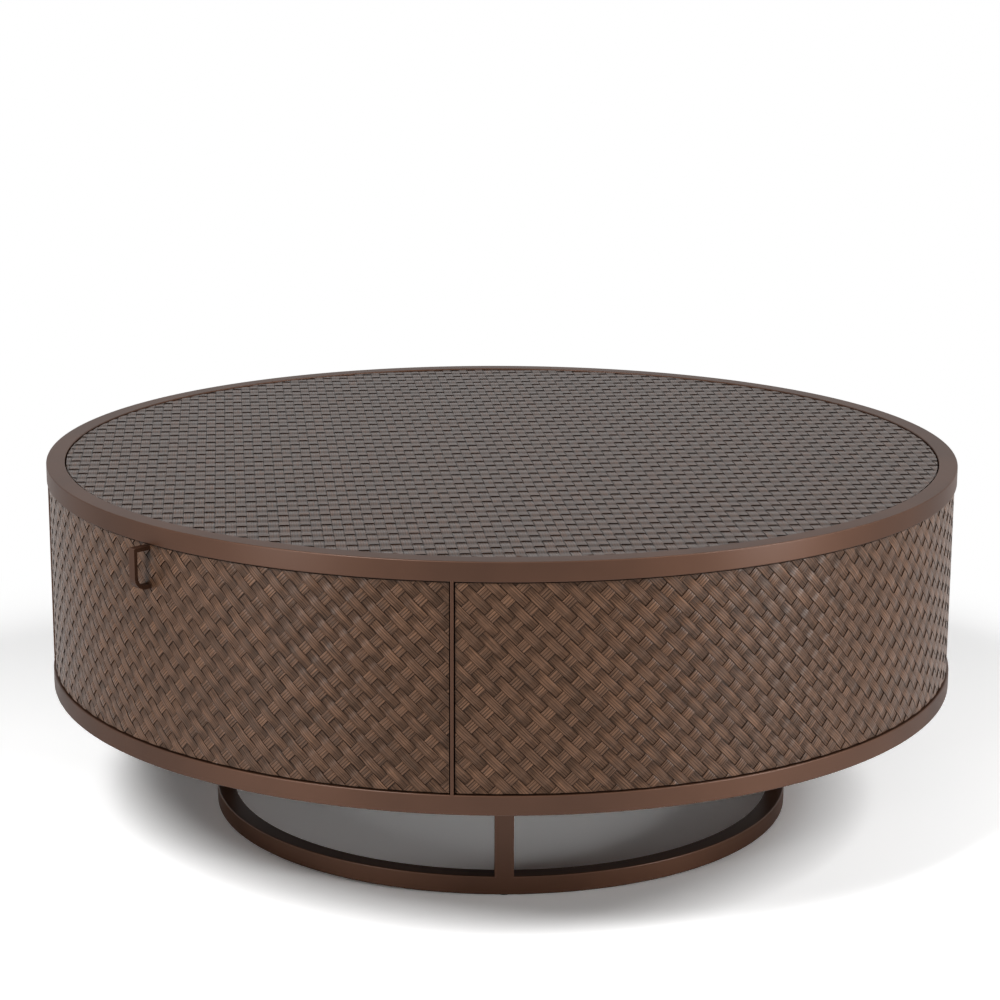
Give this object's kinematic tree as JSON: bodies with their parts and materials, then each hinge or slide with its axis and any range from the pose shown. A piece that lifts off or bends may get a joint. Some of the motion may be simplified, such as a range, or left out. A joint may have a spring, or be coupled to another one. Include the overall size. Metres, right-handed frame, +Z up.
{
  "type": "drum coffee table",
  "caption": "Round drum storage coffee table: woven cane panels and top in bronze square-tube rings, open ring base, bow-fronted drawers on telescopic runners.",
  "frame": {"origin": "on the floor, on the axis of the round drum", "axes": "+Z up; drawer A opens towards -Y and drawer B towards +Y"},
  "size_m": [1.2, 1.2414, 0.482],
  "materials": {
    "bronze": "satin bronze lacquer on steel tube",
    "woven_cane": "matt lacquered split cane, plain weave",
    "veneer": "dark stained bent plywood",
    "birch_ply": "clear lacquered birch plywood",
    "zinc_steel": "zinc plated, rolled",
    "screw_steel": "plain bright",
    "felt": "pressed felt"
  },
  "bodies": {
    "root": {"top_rim": "bronze", "top_board": "birch_ply", "top_weave": "woven_cane", "bottom_ring": "bronze", "bottom_board": "birch_ply", "mullion_front_left": "bronze", "mullion_front_right": "bronze", "mullion_back_left": "bronze", "mullion_back_right": "bronze", "side_board_left": "veneer", "side_board_right": "veneer", "side_weave_left": "woven_cane", "side_weave_right": "woven_cane", "batten_left_front": "birch_ply", "batten_left_back": "birch_ply", "batten_right_front": "birch_ply", "batten_right_back": "birch_ply", "partition_left": "birch_ply", "partition_right": "birch_ply", "centre_divider": "birch_ply", "base_ring": "bronze", "base_top_ring": "bronze", "upright_1": "bronze", "upright_2": "bronze", "upright_3": "bronze", "upright_4": "bronze", "floor_glide_1": "felt", "floor_glide_2": "felt", "floor_glide_3": "felt", "floor_glide_4": "felt", "runner_a_left_cabinet": "zinc_steel", "runner_a_right_cabinet": "zinc_steel", "runner_b_left_cabinet": "zinc_steel", "runner_b_right_cabinet": "zinc_steel"},
    "drawer_a": {"drawer_a_front": "veneer", "drawer_a_weave": "woven_cane", "drawer_a_pull": "bronze", "drawer_a_screw_top": "screw_steel", "drawer_a_screw_low": "screw_steel", "drawer_a_side_left": "birch_ply", "drawer_a_side_right": "birch_ply", "drawer_a_back": "birch_ply", "drawer_a_bottom": "birch_ply", "runner_a_left_drawer": "zinc_steel", "runner_a_right_drawer": "zinc_steel"},
    "drawer_b": {"drawer_b_front": "veneer", "drawer_b_weave": "woven_cane", "drawer_b_pull": "bronze", "drawer_b_screw_top": "screw_steel", "drawer_b_screw_low": "screw_steel", "drawer_b_side_left": "birch_ply", "drawer_b_side_right": "birch_ply", "drawer_b_back": "birch_ply", "drawer_b_bottom": "birch_ply", "runner_b_left_drawer": "zinc_steel", "runner_b_right_drawer": "zinc_steel"},
    "runner_middle_a": {"runner_a_left_middle": "zinc_steel", "runner_a_right_middle": "zinc_steel"},
    "runner_middle_b": {"runner_b_left_middle": "zinc_steel", "runner_b_right_middle": "zinc_steel"}
  },
  "joints": [
    {"name": "drawer_a_slide", "type": "slide", "parent": "root", "child": "drawer_a", "axis": [0, -1, 0], "range_m": [0, 0.38]},
    {"name": "drawer_b_slide", "type": "slide", "parent": "root", "child": "drawer_b", "axis": [0, 1, 0], "range_m": [0, 0.38]},
    {"name": "runner_middle_a_slide", "type": "slide", "parent": "root", "child": "runner_middle_a", "axis": [0, -1, 0], "range_m": [0, 0.19]},
    {"name": "runner_middle_b_slide", "type": "slide", "parent": "root", "child": "runner_middle_b", "axis": [0, 1, 0], "range_m": [0, 0.19]}
  ],
  "couplings": [
    {"joint": "runner_middle_a_slide", "follows": "drawer_a_slide", "ratio": 0.5},
    {"joint": "runner_middle_b_slide", "follows": "drawer_b_slide", "ratio": 0.5}
  ]
}
